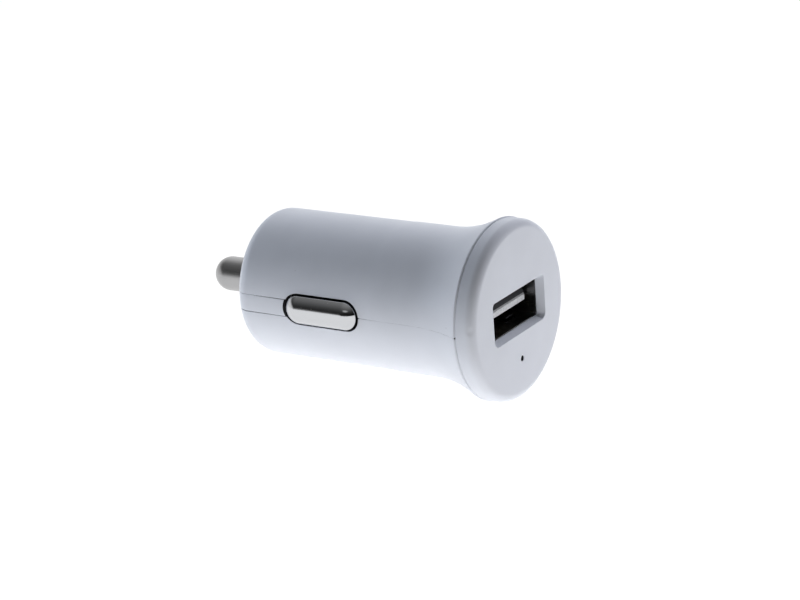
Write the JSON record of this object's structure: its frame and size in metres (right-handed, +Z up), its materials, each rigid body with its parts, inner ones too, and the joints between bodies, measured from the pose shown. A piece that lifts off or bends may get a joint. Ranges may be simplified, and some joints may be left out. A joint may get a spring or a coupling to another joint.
{
  "type": "car usb charger plug",
  "caption": "Car socket charger plug: flared round face with a USB port and a pinhole lamp, straight barrel with sprung side contacts and a sprung tip.",
  "frame": {"origin": "on the barrel's axis at the shoulder, where the flare runs into the straight barrel", "axes": "+Y along the barrel towards the sprung tip, so the face with the port looks towards -Y; +X along the port's long side and through the right side contact; +Z up, the side of the port where its tongue is"},
  "size_m": [0.0252, 0.0496, 0.0252],
  "materials": {
    "white_plastic": "white moulded plastic with a soft gloss",
    "nickel": "bright nickel plating",
    "spring_steel": "drawn spring steel",
    "port_steel": "plated sheet steel",
    "port_plastic": "light grey moulding",
    "pin_plating": "gold flash over copper alloy",
    "board": "green solder mask",
    "black_moulding": "black moulding compound",
    "ferrite": "sintered ferrite",
    "can_aluminium": "aluminium can in a dark sleeve",
    "ceramic": "ceramic chip with tinned ends",
    "lamp_clear": "water-clear lamp"
  },
  "bodies": {
    "housing": {"upper_shell": "white_plastic", "lower_shell": "white_plastic", "front_cap": "white_plastic", "tip_carrier": "white_plastic", "tip_spring": "spring_steel", "left_contact_spring": "spring_steel", "right_contact_spring": "spring_steel", "tip_terminal": "spring_steel", "usb_shell": "port_steel", "usb_insulator": "port_plastic", "usb_pin_1": "pin_plating", "usb_pin_2": "pin_plating", "usb_pin_3": "pin_plating", "usb_pin_4": "pin_plating", "circuit_board": "board", "converter_chip": "black_moulding", "rectifier_diode": "black_moulding", "power_inductor": "ferrite", "input_capacitor": "can_aluminium", "output_capacitor": "can_aluminium", "chip_resistor_1": "ceramic", "chip_resistor_2": "ceramic", "chip_resistor_3": "ceramic", "chip_resistor_4": "ceramic", "timing_capacitor": "ceramic", "indicator_led": "lamp_clear"},
    "tip": {"centre_tip": "nickel"},
    "contact_left": {"left_contact": "nickel"},
    "contact_right": {"right_contact": "nickel"}
  },
  "joints": [
    {"name": "tip_slide", "type": "slide", "parent": "housing", "child": "tip", "axis": [0, -1, 0], "range_m": [0, 0.004], "stiffness_N_per_m": 250, "springref_m": -0.002, "deforming": ["tip_spring"]},
    {"name": "left_contact_press", "type": "slide", "parent": "housing", "child": "contact_left", "axis": [1, 0, 0], "range_m": [0, 0.00125], "stiffness_N_per_m": 150, "springref_m": -0.0005, "deforming": ["left_contact_spring"]},
    {"name": "right_contact_press", "type": "slide", "parent": "housing", "child": "contact_right", "axis": [-1, 0, 0], "range_m": [0, 0.00125], "stiffness_N_per_m": 150, "springref_m": -0.0005, "deforming": ["right_contact_spring"]}
  ]
}
